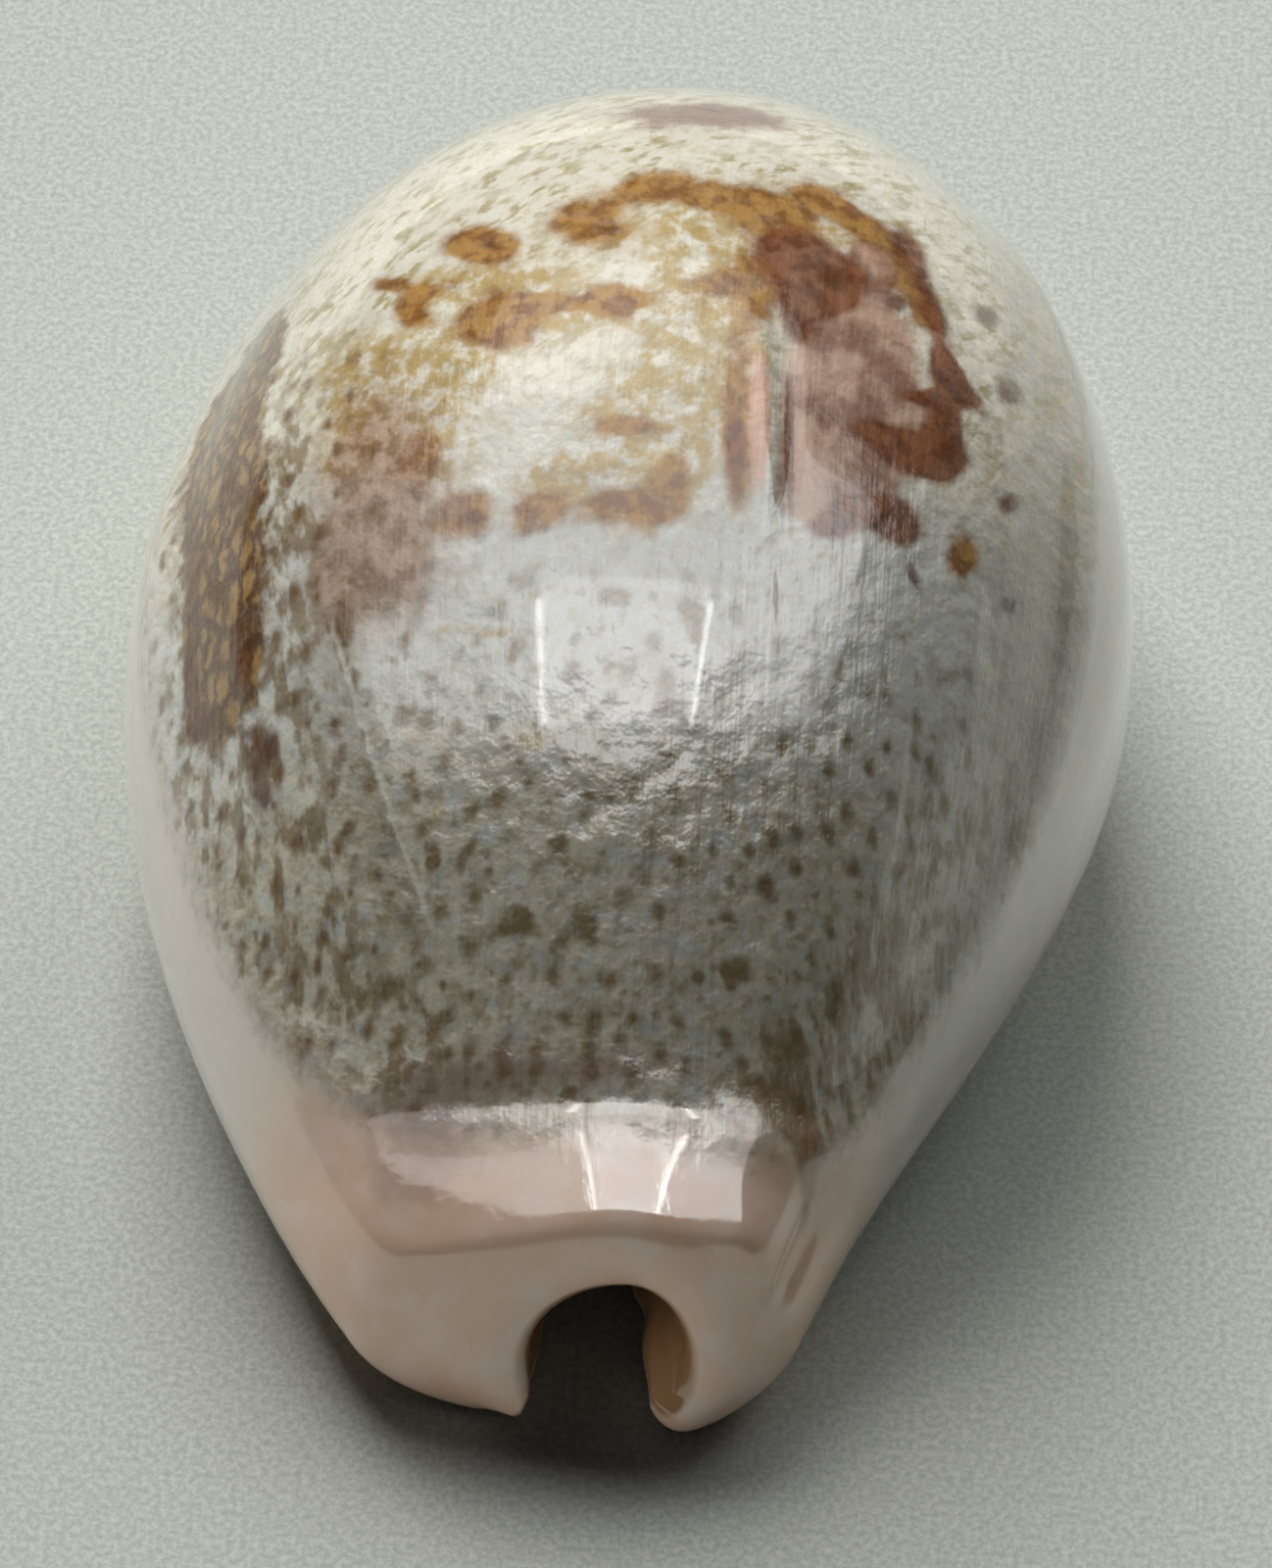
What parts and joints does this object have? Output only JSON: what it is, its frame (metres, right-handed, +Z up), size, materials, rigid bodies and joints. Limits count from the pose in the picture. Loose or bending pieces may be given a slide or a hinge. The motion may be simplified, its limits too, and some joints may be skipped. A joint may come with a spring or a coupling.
{
  "type": "cypraea subviridis cowry shell",
  "caption": "Glossy egg-shaped cowry shell with a domed blotched back, thick pale sides and a narrow toothed opening along its base; a loose natural shell to set down or display.",
  "frame": {"origin": "centre of the bounding box in X and Y, on the surface it rests on in Z", "axes": "+Z up; the length lies along Y with the front canal end at -Y and the spire end at +Y; the outer lip is at -X and the inner lip at +X"},
  "size_m": [0.0214, 0.032, 0.0156],
  "materials": {
    "enamel": "gloss"
  },
  "bodies": {
    "root": {"shell": "enamel"}
  },
  "joints": []
}
